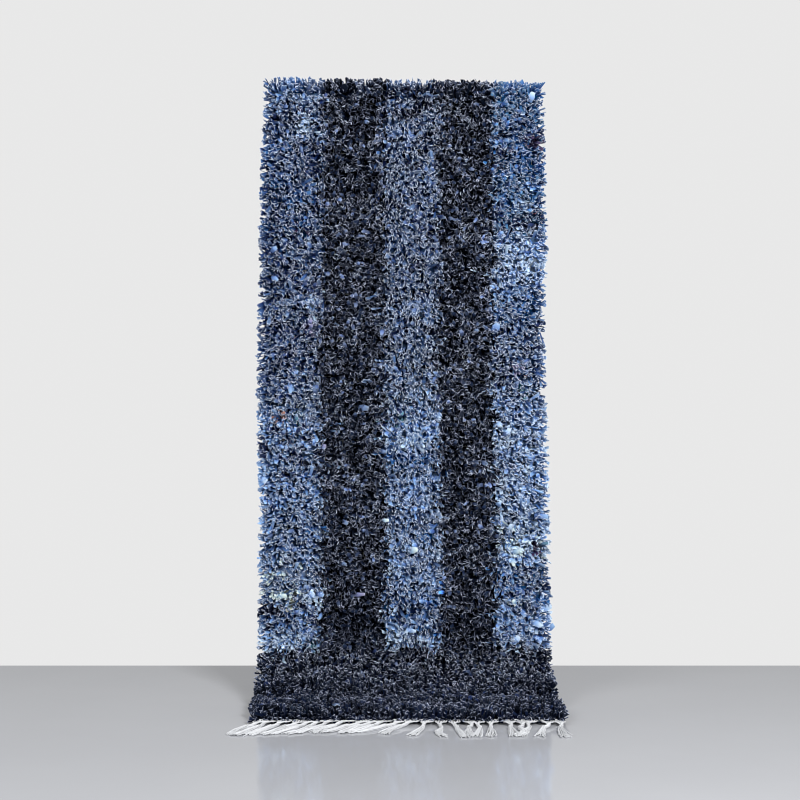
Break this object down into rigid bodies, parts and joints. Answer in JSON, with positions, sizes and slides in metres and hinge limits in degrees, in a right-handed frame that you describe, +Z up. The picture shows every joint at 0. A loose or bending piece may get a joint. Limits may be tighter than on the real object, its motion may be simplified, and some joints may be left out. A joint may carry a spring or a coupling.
{
  "type": "boucherouite rug",
  "caption": "Shaggy rag rug of knotted denim strips with dark and light stripes, hung by its top edge with the foot and its white knotted fringe lying forward on the floor.",
  "frame": {"origin": "middle of the woven top edge, where the rug is held", "axes": "+Z up along the hanging cloth, +Y out of its woven back, so the pile faces -Y; +X to the right as seen from the pile side"},
  "size_m": [0.8732, 0.6144, 1.7543],
  "materials": {
    "denim_rag": "matte",
    "cotton_warp": "matte"
  },
  "bodies": {
    "root": {"rug": "denim_rag", "fringe": "cotton_warp"}
  },
  "joints": []
}
